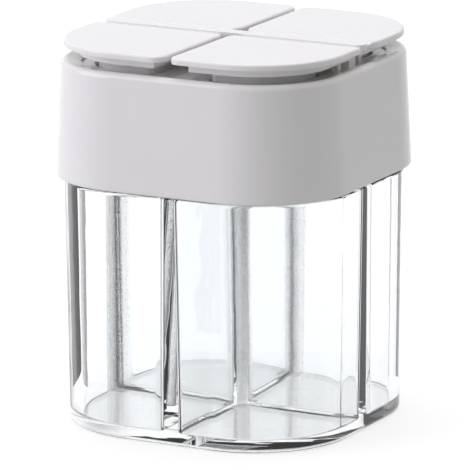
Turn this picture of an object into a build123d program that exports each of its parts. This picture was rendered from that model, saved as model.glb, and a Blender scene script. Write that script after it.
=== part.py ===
from build123d import *
import os
from math import sqrt

# Four-compartment spice jar with a push-on cap and four hinged lids.
# Millimetres, +Z up, origin in the middle of the jar's flat underside.
# -Y is the front.  The hinge bar runs along X, the slit between the lids along Y.

os.makedirs("parts", exist_ok=True)

# Jar body, the clear part below the cap
cap_overhang = 1.0          # the cap's lower edge beyond the body, middle of a side
body_corner = 27.5          # corner radius at the shoulder
body_draft = 0.7            # lean of each side from shoulder to base
body_height = 67.5          # underside to shoulder
floor_thickness = 3.0
base_edge_radius = 1.2
shoulder_radius = 0.8

# Neck, the part of the jar inside the cap
neck_height = 26.5          # shoulder to rim
neck_clearance = 0.25       # neck to skirt, each side, at the rim
neck_flare = 0.4            # the neck is this much wider at the shoulder, each side
neck_corner = 25.5
neck_wall = 1.6             # wall at the rim

# Compartments
divider_thickness = 2.0     # at the rim
pocket_draft = 1.2          # lean of each pocket wall from rim to floor
pocket_corner = 2.0         # radius beside the dividers
pocket_floor_radius = 0.6

# Cap shell
cap_half = 42.0             # half width at the lower edge
cap_corner = 25.5
cap_shoulder_gap = 0.3      # lower edge above the jar's shoulder
skirt_lean = 1.5            # lean of each side from lower edge to top
skirt_wall = 1.6            # at the lower edge
skirt_wall_top = 1.4        # at the deck
cap_edge_radius = 1.6       # top outer edge
lower_edge_radius = 0.6
ledge_width = 3.7           # sloping ledge, edge radius to well
ledge_drop = 1.1
well_depth = 0.5            # ledge's inner rim to deck
deck_thickness = 1.6

# Sealing pieces under the deck
sifter_thickness = 1.2
sifter_clearance = 0.2      # plate to skirt
gasket_thickness = 1.2
gasket_inset = 0.2          # gasket edge inside the rim's outer edge
gasket_lap = 0.3            # gasket beyond the rim and dividers, each side

# Shaker holes in each compartment's field
hole_radius = 1.2
inner_ring_radius = 3.8
inner_ring_holes = 6
outer_ring_radius = 7.4
outer_ring_holes = 12

# Lids
lid_rise = 5.4              # closed lids' top faces above the cap's edge
lid_inset = 0.4             # lids' outer edge inside the cap's top edge
lid_corner = 24.3
lid_slit = 1.8              # between neighbours, across the slit
lid_thickness = 1.6
lid_edge_radius = 0.6
hub_corner = 5.0            # the lid's corner at the middle of the cap
end_corner = 3.5            # the lid's corners at the rim
rim_rib_inset = 4.1
rim_rib_wall = 1.2
rim_rib_depth = 2.4
rim_rib_corner = 0.5
plug_wall = 1.2
plug_clearance = 1.0        # plug to window, each side, for its swing
plug_seat_gap = 0.1         # plug to sifter plate when closed

# Windows in the deck, one above each compartment
window_side = 7.5           # from the slit's middle plane
window_hinge_side = 9.5     # from the bar's middle plane
window_margin = 3.7         # window's outer side to the well's wall
window_flat = 16.5          # from each middle plane to where the outer corner starts
window_corner = 3.0

# Hinges
bar_half = 2.1              # hinge bar between the front and back lids
bar_inset = 0.9             # bar end inside the lids' outer edge
bar_gap = 0.3               # lid lip to bar
bar_rib = 3.6               # rib that carries the bar
lip_radius = 2.5            # the lid's rounded inner edge, about the hinge axis
lip_wall = 0.6
trunnion_radius = 0.8
trunnion_clearance = 0.05
ear_radius = 1.5
ear_width = 1.8
ear_clearance = 0.3         # ear to barrel, rib and pocket
post_offset = 0.4           # post's near face beyond the hinge axis
post_thickness = 2.0

# Levels
rim_z = body_height + neck_height
gasket_z = rim_z
sifter_z = gasket_z + gasket_thickness
deck_z = sifter_z + sifter_thickness
well_z = deck_z + deck_thickness
skirt_z = body_height + cap_shoulder_gap
well_rim_z = well_z + well_depth
cap_top_z = well_rim_z + ledge_drop
lid_top = cap_top_z + lid_rise
hinge_z = lid_top - lip_radius
plate_z = lid_top - lid_thickness

# Half widths that follow from the cap
body_half = cap_half - cap_overhang
base_half = body_half - body_draft
cap_top_half = cap_half - skirt_lean
deck_share = (deck_z - skirt_z) / (cap_top_z - skirt_z)
rim_share = (rim_z - skirt_z) / (deck_z - skirt_z)
cavity_low_half = cap_half - skirt_wall
cavity_top_half = cap_half - skirt_lean * deck_share - skirt_wall_top
cavity_rim_half = cavity_low_half + (cavity_top_half - cavity_low_half) * rim_share
neck_half = cavity_rim_half - neck_clearance
pocket_half = neck_half - neck_wall
sifter_half = cavity_top_half - sifter_clearance
ledge_half = cap_top_half - cap_edge_radius
well_half = ledge_half - ledge_width
window_half = well_half - window_margin
lid_half = cap_top_half - lid_inset
bar_length = 2 * (lid_half - bar_inset)

# Hinge axis of the back lids; the front lids' is its mirror image
hinge_y = bar_half + bar_gap + lip_radius
lid_inner_y = hinge_y - lip_radius
ear_inner = lid_slit / 2 + rim_rib_inset + rim_rib_wall + ear_clearance
ear_outer = lid_half - rim_rib_inset - rim_rib_wall - ear_clearance
barrel_start = ear_inner + ear_width + ear_clearance
barrel_end = ear_outer - ear_width - ear_clearance
field_x = (window_side + window_half) / 2
field_y = (window_hinge_side + window_half) / 2


def shrunk(radius, amount, least=0.5):
    """Corner radius of an outline moved inward by amount."""
    return max(radius - amount, least)


def rounded_square(level, half, radius):
    """Rounded square about the Z axis, at a level."""
    with BuildSketch(Plane.XY.offset(level)) as outline:
        RectangleRounded(2 * half, 2 * half, radius)
    return outline.sketch


def square_loft(low_z, low_half, low_radius, high_z, high_half, high_radius, mode=Mode.ADD):
    """Drafted block between two rounded squares."""
    low = rounded_square(low_z, low_half, low_radius)
    high = rounded_square(high_z, high_half, high_radius)
    loft((low, high), ruled=True, mode=mode)


def quarter_outline(x0, y0, x1, y1, outer, inner, ends):
    """Rounded quarter of a square, its big corner radius away from the middle."""
    with Locations(((x0 + x1) / 2, (y0 + y1) / 2)):
        Rectangle(x1 - x0, y1 - y0)
    corners = vertices().sort_by(lambda v: v.X + v.Y)
    fillet(corners[-1], outer)
    corners = vertices().sort_by(lambda v: v.X + v.Y)
    fillet(corners[0], inner)
    square_ends = [v for v in vertices() if is_square_end(v, x0, y0, x1, y1)]
    fillet(square_ends, ends)


def is_square_end(v, x0, y0, x1, y1):
    """True at the two corners where the quarter meets the outer outline."""
    at_x = abs(v.X - x1) < 1e-6 and abs(v.Y - y0) < 1e-6
    at_y = abs(v.X - x0) < 1e-6 and abs(v.Y - y1) < 1e-6
    return at_x or at_y


# Jar: one clear moulding with a cross of dividers
def pocket_section(level, share):
    """Compartment outline at a level; share runs from 0 at the rim to 1 at the floor."""
    lean = pocket_draft * share
    near = divider_thickness / 2 + lean
    far = pocket_half - lean
    outer = shrunk(neck_corner, neck_wall + lean)
    with BuildSketch(Plane.XY.offset(level)) as outline:
        quarter_outline(near, near, far, far, outer, pocket_corner, pocket_corner)
    return outline.sketch


with BuildPart() as pocket:
    loft((pocket_section(floor_thickness, 1), pocket_section(rim_z, 0)), ruled=True)
    fillet(pocket.edges().group_by(Axis.Z)[0], pocket_floor_radius)

with BuildPart() as jar:
    square_loft(0, base_half, body_corner, body_height, body_half, body_corner)
    base_edges = jar.edges().group_by(Axis.Z)[0]
    fillet(base_edges, base_edge_radius)
    fillet(jar.edges().group_by(Axis.Z)[-1], shoulder_radius)
    square_loft(body_height, neck_half + neck_flare, neck_corner, rim_z, neck_half, neck_corner)
    for turn in range(4):
        add(pocket.part, rotation=(0, 0, 90 * turn), mode=Mode.SUBTRACT)
jar.part.label = "jar"
export_step(jar.part, "parts/jar.step")


# Gasket: soft ring and cross on the jar's rim and dividers
gasket_half = neck_half - gasket_inset
gasket_hole_far = pocket_half - gasket_lap
gasket_hole_near = divider_thickness / 2 + gasket_lap
gasket_hole_corner = shrunk(neck_corner, neck_wall + gasket_lap)

with BuildPart() as gasket:
    with BuildSketch(Plane.XY.offset(gasket_z)):
        RectangleRounded(2 * gasket_half, 2 * gasket_half, shrunk(neck_corner, gasket_inset))
    extrude(amount=gasket_thickness)
    for turn in range(4):
        with BuildSketch(Plane.XY.offset(gasket_z).rotated((0, 0, 90 * turn))):
            quarter_outline(
                gasket_hole_near, gasket_hole_near, gasket_hole_far, gasket_hole_far,
                gasket_hole_corner, pocket_corner, pocket_corner,
            )
        extrude(amount=gasket_thickness, mode=Mode.SUBTRACT)
gasket.part.label = "gasket"
export_step(gasket.part, "parts/gasket.step")


# Sifter plate: shaker holes above each compartment
with BuildPart() as sifter:
    with BuildSketch(Plane.XY.offset(sifter_z)):
        RectangleRounded(2 * sifter_half, 2 * sifter_half, shrunk(cap_corner, cap_half - sifter_half))
        for x_sign in (-1, 1):
            for y_sign in (-1, 1):
                with Locations((x_sign * field_x, y_sign * field_y)):
                    Circle(hole_radius, mode=Mode.SUBTRACT)
                    with PolarLocations(inner_ring_radius, inner_ring_holes):
                        Circle(hole_radius, mode=Mode.SUBTRACT)
                    with PolarLocations(outer_ring_radius, outer_ring_holes):
                        Circle(hole_radius, mode=Mode.SUBTRACT)
    extrude(amount=sifter_thickness)
sifter.part.label = "sifter_plate"
export_step(sifter.part, "parts/sifter_plate.step")


# Cap shell: skirt, deck with four windows, hinge bar and hinge ears
def window_outline(inset):
    """Outline of a deck window in the back right quarter, moved inward by inset."""
    quarter_outline(
        window_side + inset, window_hinge_side + inset, window_half - inset, window_half - inset,
        window_half - window_flat - inset, shrunk(window_corner, inset), shrunk(window_corner, inset),
    )


with BuildPart() as window:
    with BuildSketch(Plane.XY.offset(deck_z)):
        window_outline(0)
    extrude(amount=deck_thickness)
    mirror(about=Plane.YZ)
    mirror(about=Plane.XZ)

with BuildPart() as ears:
    for ear_start in (ear_inner, ear_outer - ear_width):
        with BuildSketch(Plane.YZ.offset(ear_start)):
            with Locations((hinge_y, hinge_z)):
                Circle(ear_radius)
            with Locations((hinge_y + post_offset, well_z)):
                Rectangle(post_thickness, hinge_z - well_z, align=(Align.MIN, Align.MIN))
            with Locations((hinge_y, hinge_z)):
                Circle(trunnion_radius + trunnion_clearance, mode=Mode.SUBTRACT)
        extrude(amount=ear_width)
    mirror(about=Plane.YZ)
    mirror(about=Plane.XZ)

with BuildPart() as cap:
    square_loft(
        skirt_z, cap_half, cap_corner,
        cap_top_z, cap_top_half, shrunk(cap_corner, skirt_lean),
    )
    fillet(cap.edges().group_by(Axis.Z)[-1], cap_edge_radius)
    fillet(cap.edges().group_by(Axis.Z)[0], lower_edge_radius)
    square_loft(
        skirt_z, cavity_low_half, shrunk(cap_corner, skirt_wall),
        deck_z, cavity_top_half, shrunk(cap_corner, cap_half - cavity_top_half),
        mode=Mode.SUBTRACT,
    )
    square_loft(
        well_rim_z, well_half, shrunk(cap_corner, cap_half - well_half),
        cap_top_z, ledge_half, shrunk(cap_corner, cap_half - ledge_half),
        mode=Mode.SUBTRACT,
    )
    with BuildSketch(Plane.XY.offset(well_z)):
        RectangleRounded(2 * well_half, 2 * well_half, shrunk(cap_corner, cap_half - well_half))
    extrude(amount=well_depth, mode=Mode.SUBTRACT)
    add(window.part, mode=Mode.SUBTRACT)
    with BuildSketch(Plane.XY.offset(well_z)):
        Rectangle(2 * well_half, bar_rib)
    extrude(amount=plate_z - well_z)
    with BuildSketch(Plane.XY.offset(plate_z)):
        SlotOverall(bar_length, 2 * bar_half)
    extrude(amount=lid_thickness)
    add(ears.part)
cap.part.label = "cap_shell"
export_step(cap.part, "parts/cap_shell.step")


# Lids: one is built in the back right quarter, the others are its mirror images
def lid_outline(inset):
    """The lid's outline, moved inward by inset."""
    quarter_outline(
        lid_slit / 2 + inset, lid_inner_y + inset, lid_half - inset, lid_half - inset,
        shrunk(lid_corner, inset), shrunk(hub_corner, inset), shrunk(end_corner, inset),
    )


def round_on_axis(start, end, radius, mode=Mode.ADD):
    """Round bar or bore on the hinge axis, between two places along it."""
    ends_at_start = (Align.CENTER, Align.CENTER, Align.MIN)
    with Locations((start, hinge_y, hinge_z)):
        Cylinder(radius, end - start, rotation=(0, 90, 0), align=ends_at_start, mode=mode)


plug_z = deck_z + plug_seat_gap
pocket_radius = ear_radius + ear_clearance
lip_reach = sqrt(lip_radius ** 2 - (plate_z - hinge_z) ** 2)


def rib_outline(inset, start):
    """Outline of the rib under the lid's rim, moved inward by inset, from start at the hinge side."""
    quarter_outline(
        lid_slit / 2 + inset, start, lid_half - inset, lid_half - inset,
        shrunk(lid_corner, inset), rim_rib_corner, rim_rib_corner,
    )


# Stiffening rib under the lid's rim, open at the hinge side
with BuildPart() as rim_rib:
    with BuildSketch(Plane.XY.offset(plate_z - rim_rib_depth)):
        rib_outline(rim_rib_inset, hinge_y - lip_reach)
    extrude(amount=rim_rib_depth)
    with BuildSketch(Plane.XY.offset(plate_z - rim_rib_depth)):
        rib_outline(rim_rib_inset + rim_rib_wall, 0)
    extrude(amount=rim_rib_depth, mode=Mode.SUBTRACT)

# Plug that reaches through the window and closes on the sifter plate
with BuildPart() as plug:
    with BuildSketch(Plane.XY.offset(plug_z)):
        window_outline(plug_clearance)
    extrude(amount=plate_z - plug_z)
    with BuildSketch(Plane.XY.offset(plug_z)):
        window_outline(plug_clearance + plug_wall)
    extrude(amount=plate_z - plug_z, mode=Mode.SUBTRACT)

# Hinge barrel between the ears, with a trunnion at each end
with BuildPart() as barrel:
    round_on_axis(ear_inner, ear_outer, trunnion_radius)
    round_on_axis(barrel_start, barrel_end, ear_radius)

with BuildPart() as lid:
    with BuildSketch(Plane.XY.offset(hinge_z)):
        lid_outline(0)
    extrude(amount=lip_radius)
    fillet(lid.faces().sort_by(Axis.Z)[-1].edges(), lid_edge_radius)

    # Hollow below the plate, leaving the lip along the inner edge
    with BuildSketch(Plane.YZ):
        with BuildLine():
            lip_foot = (lid_inner_y + lip_wall, hinge_z)
            lip_top = (hinge_y - lip_reach + lip_wall, plate_z)
            under_far = (2 * lid_half, hinge_z - lip_radius)
            under_near = (lid_inner_y + lip_wall, hinge_z - lip_radius)
            Polyline(lip_foot, lip_top, (2 * lid_half, plate_z), under_far, under_near, close=True)
        make_face()
    extrude(amount=2 * lid_half, mode=Mode.SUBTRACT)

    # Round the inner edge about the hinge axis
    with BuildSketch(Plane.YZ):
        with BuildLine():
            edge_low = (lid_inner_y, hinge_z)
            edge_high = (hinge_y, lid_top)
            RadiusArc(edge_low, edge_high, lip_radius)
            Polyline(edge_high, (hinge_y, 2 * lid_top), (0, 2 * lid_top), (0, hinge_z), edge_low)
        make_face()
    extrude(amount=2 * lid_half, mode=Mode.SUBTRACT)

    # Pockets round the ears, so that the lid can turn
    round_on_axis(ear_inner - ear_clearance, barrel_start, pocket_radius, Mode.SUBTRACT)
    round_on_axis(barrel_end, ear_outer + ear_clearance, pocket_radius, Mode.SUBTRACT)
    add(barrel.part)
    add(rim_rib.part)
    add(plug.part)

for x_side, side in ((1, "right"), (-1, "left")):
    for y_side, end in ((1, "back"), (-1, "front")):
        with BuildPart() as one_lid:
            add(lid.part)
            if x_side < 0:
                mirror(about=Plane.YZ, mode=Mode.REPLACE)
            if y_side < 0:
                mirror(about=Plane.XZ, mode=Mode.REPLACE)
        one_lid.part.label = f"lid_{end}_{side}"
        export_step(one_lid.part, f"parts/lid_{end}_{side}.step")
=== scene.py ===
import math

import bpy
from mathutils import Matrix, Vector

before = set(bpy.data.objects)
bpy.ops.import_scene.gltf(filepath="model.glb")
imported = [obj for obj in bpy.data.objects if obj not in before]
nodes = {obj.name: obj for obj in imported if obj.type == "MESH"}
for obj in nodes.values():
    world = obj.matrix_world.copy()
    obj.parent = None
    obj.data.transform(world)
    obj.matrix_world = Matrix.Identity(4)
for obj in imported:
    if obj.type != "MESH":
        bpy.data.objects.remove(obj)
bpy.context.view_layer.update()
bpy.context.scene.view_settings.view_transform = "Standard"

# Camera, from the fit of the jar's edges in the photograph
AZIMUTH = math.radians(27.574)
ELEVATION = math.radians(13.292)
ROLL = math.radians(-0.15)
DISTANCE = 1.5
TARGET_HEIGHT = 0.049
FOCAL_PX = 5555.0
FRAME_PX = 470.0
SENSOR = 36.0

# Lamps, sky and floor
KEY_POWER = 7.2
KEY_PLACE = (-0.9, -0.75, 0.5)
KEY_COLOUR = (1.0, 0.98, 1.08)
TOP_POWER = 5.6
TOP_PLACE = (-0.1, 0.3, 1.2)
TOP_COLOUR = (1.0, 0.985, 1.1)
LAMP_SIDE = 0.9
LAMP_AIM = (0, 0, 0.05)
SKY_LEVEL = 0.41
FLOOR_SIDE = 6
FLOOR_DROP = 0.0001
FLOOR_GLOW = 0.68
FLOOR_TONE = 0.52

# Dark cards beside the jar, seen only through its clear walls: painted dark refraction at its edges
CARD_HEIGHT = 0.11
CARD_LIFT = 0.0002

# Frosted places, as distances from the jar's middle: where the frost is full and where it has ended
COLUMN_FULL = 0.0034
COLUMN_END = 0.0052
DIVIDER_FULL = 0.004
DIVIDER_END = 0.0055
WALL_FULL = 0.033
WALL_END = 0.030
WALL_STRENGTH = 0.7


def add_camera():
    cos_a, sin_a = math.cos(AZIMUTH), math.sin(AZIMUTH)
    cos_e, sin_e = math.cos(ELEVATION), math.sin(ELEVATION)
    back = Vector((sin_a * cos_e, -cos_a * cos_e, sin_e))
    right = Vector((cos_a, sin_a, 0))
    up = back.cross(right)
    tilted_right = math.cos(ROLL) * right + math.sin(ROLL) * up
    tilted_up = -math.sin(ROLL) * right + math.cos(ROLL) * up
    place = Vector((0, 0, TARGET_HEIGHT)) + back * DISTANCE
    data = bpy.data.cameras.new("camera")
    data.sensor_width = SENSOR
    data.lens = SENSOR * FOCAL_PX / FRAME_PX
    data.clip_start = 0.01
    data.clip_end = 50
    camera = bpy.data.objects.new("camera", data)
    turn = Matrix((tilted_right, tilted_up, back)).transposed()
    camera.matrix_world = Matrix.Translation(place) @ turn.to_4x4()
    bpy.context.scene.collection.objects.link(camera)
    bpy.context.scene.camera = camera


# Node helpers


def calculate(tree, operation, first, second=0.0):
    """A math node's result. A number is set on its socket, and anything else is linked to it."""
    node = tree.nodes.new("ShaderNodeMath")
    node.operation = operation
    for socket, value in zip(node.inputs, (first, second)):
        if isinstance(value, float):
            socket.default_value = value
        else:
            tree.links.new(value, socket)
    return node.outputs[0]


def ramp(tree, value, start, end):
    """0 below start and 1 above end, or the reverse where end is the lower."""
    node = tree.nodes.new("ShaderNodeMapRange")
    node.interpolation_type = "SMOOTHSTEP"
    node.inputs["From Min"].default_value = min(start, end)
    node.inputs["From Max"].default_value = max(start, end)
    node.inputs["To Min"].default_value = 0.0 if start < end else 1.0
    node.inputs["To Max"].default_value = 1.0 if start < end else 0.0
    tree.links.new(value, node.inputs["Value"])
    return node.outputs["Result"]


def noise(tree, scale, detail=3.0, roughness=0.5):
    place = tree.nodes.new("ShaderNodeTexCoord")
    texture = tree.nodes.new("ShaderNodeTexNoise")
    texture.inputs["Scale"].default_value = scale
    texture.inputs["Detail"].default_value = detail
    texture.inputs["Roughness"].default_value = roughness
    tree.links.new(place.outputs["Object"], texture.inputs["Vector"])
    return texture.outputs["Fac"]


def spread(tree, value, low, high):
    """The noise's value, spread over low to high."""
    node = tree.nodes.new("ShaderNodeMapRange")
    node.inputs["From Min"].default_value = 0.3
    node.inputs["From Max"].default_value = 0.7
    node.inputs["To Min"].default_value = low
    node.inputs["To Max"].default_value = high
    tree.links.new(value, node.inputs["Value"])
    return node.outputs["Result"]


def blend_colours(tree, value, first, second):
    node = tree.nodes.new("ShaderNodeValToRGB")
    node.color_ramp.elements[0].position = 0.35
    node.color_ramp.elements[0].color = (*first, 1)
    node.color_ramp.elements[1].position = 0.65
    node.color_ramp.elements[1].color = (*second, 1)
    tree.links.new(value, node.inputs["Fac"])
    return node.outputs["Color"]


def add_bump(tree, shader, value, height):
    node = tree.nodes.new("ShaderNodeBump")
    node.inputs["Strength"].default_value = 1.0
    node.inputs["Distance"].default_value = height
    tree.links.new(value, node.inputs["Height"])
    tree.links.new(node.outputs["Normal"], shader.inputs["Normal"])


# Materials


def empty_material(name):
    material = bpy.data.materials.new(name)
    material.use_nodes = True
    tree = material.node_tree
    tree.nodes.clear()
    return material, tree, tree.nodes.new("ShaderNodeOutputMaterial")


def new_material(name):
    material, tree, out = empty_material(name)
    shader = tree.nodes.new("ShaderNodeBsdfPrincipled")
    tree.links.new(shader.outputs["BSDF"], out.inputs["Surface"])
    return material, tree, shader


def white_plastic(name, first, second, roughness, ripple):
    """Injection-moulded white plastic: faint tone drift, slight ripple and a soft gloss."""
    material, tree, shader = new_material(name)
    drift = noise(tree, 38.0)
    tree.links.new(blend_colours(tree, drift, first, second), shader.inputs["Base Color"])
    grain = noise(tree, 900.0, 2.0)
    tree.links.new(spread(tree, grain, *roughness), shader.inputs["Roughness"])
    shader.inputs["IOR"].default_value = 1.49
    shader.inputs["Subsurface Weight"].default_value = 0.12
    shader.inputs["Subsurface Radius"].default_value = (0.0015, 0.0013, 0.0011)
    shader.inputs["Subsurface Scale"].default_value = 1.0
    add_bump(tree, shader, noise(tree, 70.0, 1.0), ripple)
    return material


def frosted_places(tree):
    """How frosted the wall is: the middle column, and more weakly the back and the left divider ends."""
    place = tree.nodes.new("ShaderNodeTexCoord")
    parts = tree.nodes.new("ShaderNodeSeparateXYZ")
    tree.links.new(place.outputs["Object"], parts.inputs["Vector"])
    x, y = parts.outputs["X"], parts.outputs["Y"]
    x_size = calculate(tree, "ABSOLUTE", x)
    y_size = calculate(tree, "ABSOLUTE", y)
    column = ramp(tree, calculate(tree, "MAXIMUM", x_size, y_size), COLUMN_END, COLUMN_FULL)
    along_y = ramp(tree, x_size, DIVIDER_END, DIVIDER_FULL)
    along_x = ramp(tree, y_size, DIVIDER_END, DIVIDER_FULL)
    back = calculate(tree, "MULTIPLY", along_y, ramp(tree, y, WALL_END, WALL_FULL))
    left = calculate(tree, "MULTIPLY", along_x, ramp(tree, x, -WALL_END, -WALL_FULL))
    ends = calculate(tree, "MULTIPLY", calculate(tree, "MAXIMUM", back, left), WALL_STRENGTH)
    return calculate(tree, "MAXIMUM", column, ends)


def clear_plastic(name):
    """Clear moulding: almost colourless, with faint flow ripples and a few frosted places."""
    material, tree, shader = new_material(name)
    drift = noise(tree, 30.0)
    tint = blend_colours(tree, drift, (0.968, 0.983, 0.987), (0.976, 0.988, 0.992))
    tree.links.new(tint, shader.inputs["Base Color"])
    shader.inputs["Transmission Weight"].default_value = 1.0
    shader.inputs["IOR"].default_value = 1.53
    frost = frosted_places(tree)
    speckle = noise(tree, 1900.0, 2.0, 0.6)
    grain = spread(tree, noise(tree, 700.0, 2.0), 0.0, 0.02)
    patchy = calculate(tree, "MULTIPLY", frost, spread(tree, speckle, 0.3, 0.6))
    tree.links.new(calculate(tree, "ADD", grain, patchy), shader.inputs["Roughness"])
    ripple = calculate(tree, "MULTIPLY", noise(tree, 110.0, 1.0), 0.25)
    pits = calculate(tree, "MULTIPLY", calculate(tree, "MULTIPLY", speckle, frost), 4.5)
    add_bump(tree, shader, calculate(tree, "ADD", ripple, pits), 0.00012)
    return material


def silicone(name):
    material, tree, shader = new_material(name)
    drift = noise(tree, 60.0)
    tint = blend_colours(tree, drift, (0.78, 0.79, 0.78), (0.82, 0.83, 0.82))
    tree.links.new(tint, shader.inputs["Base Color"])
    grain = noise(tree, 1500.0, 2.0)
    tree.links.new(spread(tree, grain, 0.5, 0.65), shader.inputs["Roughness"])
    shader.inputs["IOR"].default_value = 1.41
    shader.inputs["Subsurface Weight"].default_value = 0.2
    shader.inputs["Subsurface Radius"].default_value = (0.002, 0.002, 0.002)
    add_bump(tree, shader, grain, 0.00002)
    return material


def paint(node, material):
    mesh = nodes[node].data
    mesh.materials.clear()
    mesh.materials.append(material)


# Floor, lamps, cards and world


def seen_by_eye(tree):
    """1 for rays that show the studio: from the camera, mirrored or through clear plastic."""
    rays = tree.nodes.new("ShaderNodeLightPath")
    through = calculate(tree, "MAXIMUM", rays.outputs["Is Camera Ray"], rays.outputs["Is Transmission Ray"])
    return calculate(tree, "MAXIMUM", through, rays.outputs["Is Glossy Ray"])


def add_floor():
    bpy.ops.mesh.primitive_plane_add(size=FLOOR_SIDE, location=(0, 0, -FLOOR_DROP))
    floor = bpy.context.object
    floor.name = "floor"
    material, tree, out = empty_material("floor")
    diffuse = tree.nodes.new("ShaderNodeBsdfDiffuse")
    diffuse.inputs["Color"].default_value = (FLOOR_TONE, FLOOR_TONE, FLOOR_TONE, 1)
    glow = tree.nodes.new("ShaderNodeEmission")
    total = tree.nodes.new("ShaderNodeAddShader")
    tree.links.new(calculate(tree, "MULTIPLY", seen_by_eye(tree), FLOOR_GLOW), glow.inputs["Strength"])
    tree.links.new(diffuse.outputs[0], total.inputs[0])
    tree.links.new(glow.outputs[0], total.inputs[1])
    tree.links.new(total.outputs[0], out.inputs["Surface"])
    floor.data.materials.append(material)


def add_lamp(name, place, power, colour):
    data = bpy.data.lights.new(name, "AREA")
    data.color = colour
    data.shape = "RECTANGLE"
    data.size = data.size_y = LAMP_SIDE
    data.energy = power
    lamp = bpy.data.objects.new(name, data)
    lamp.location = place
    lamp.rotation_euler = (Vector(LAMP_AIM) - Vector(place)).to_track_quat("-Z", "Y").to_euler()
    bpy.context.scene.collection.objects.link(lamp)


def add_refraction_card(name, place, facing, half_width):
    """Dark card close to the jar, seen only through its clear walls, where it paints dark refraction along
    their edges.
    """
    turn = math.radians(facing)
    side = Vector((-math.sin(turn), math.cos(turn), 0)) * half_width
    base = Vector((*place, CARD_LIFT))
    rise = Vector((0, 0, CARD_HEIGHT))
    corners = [base - side, base + side, base + side + rise, base - side + rise]
    mesh = bpy.data.meshes.new(name)
    mesh.from_pydata(corners, [], [(0, 1, 2, 3)])
    material, tree, out = empty_material(name)
    black = tree.nodes.new("ShaderNodeBsdfDiffuse")
    black.inputs["Color"].default_value = (0.01, 0.01, 0.011, 1)
    tree.links.new(black.outputs[0], out.inputs["Surface"])
    mesh.materials.append(material)
    card = bpy.data.objects.new(name, mesh)
    card.visible_camera = False
    card.visible_diffuse = False
    card.visible_glossy = False
    card.visible_shadow = False
    bpy.context.scene.collection.objects.link(card)


def add_world():
    world = bpy.data.worlds.new("studio")
    bpy.context.scene.world = world
    world.use_nodes = True
    tree = world.node_tree
    tree.nodes.clear()
    out = tree.nodes.new("ShaderNodeOutputWorld")
    shown_sky = tree.nodes.new("ShaderNodeBackground")
    shown_sky.inputs["Color"].default_value = (1, 1, 1, 1)
    lit_sky = tree.nodes.new("ShaderNodeBackground")
    lit_sky.inputs["Color"].default_value = (1.0, 0.99, 0.975, 1)
    lit_sky.inputs["Strength"].default_value = SKY_LEVEL
    mix = tree.nodes.new("ShaderNodeMixShader")
    tree.links.new(seen_by_eye(tree), mix.inputs["Fac"])
    tree.links.new(lit_sky.outputs[0], mix.inputs[1])
    tree.links.new(shown_sky.outputs[0], mix.inputs[2])
    tree.links.new(mix.outputs[0], out.inputs["Surface"])


add_camera()
add_floor()
add_world()
# Cards seen only through the jar: painted dark refraction at its right and left edges
add_refraction_card("right_refraction_card", (0.034, 0.055), 98, 0.0042)
add_refraction_card("left_refraction_card", (-0.071, -0.0105), 117, 0.0155)
add_lamp("key", KEY_PLACE, KEY_POWER, KEY_COLOUR)
add_lamp("top", TOP_PLACE, TOP_POWER, TOP_COLOUR)

paint("jar", clear_plastic("clear_plastic"))
paint("gasket", silicone("silicone"))
plate_white = white_plastic("white_plate", (0.90, 0.89, 0.87), (0.92, 0.91, 0.89), (0.3, 0.4), 0.00002)
paint("sifter_plate", plate_white)
cap_white = white_plastic("white_cap", (0.92, 0.91, 0.90), (0.935, 0.925, 0.915), (0.12, 0.18), 0.00002)
paint("cap_shell", cap_white)
lid_white = white_plastic("white_lid", (0.925, 0.915, 0.905), (0.94, 0.93, 0.92), (0.24, 0.26), 0.000006)
for node in ("lid_back_right", "lid_back_left", "lid_front_left", "lid_front_right"):
    paint(node, lid_white)
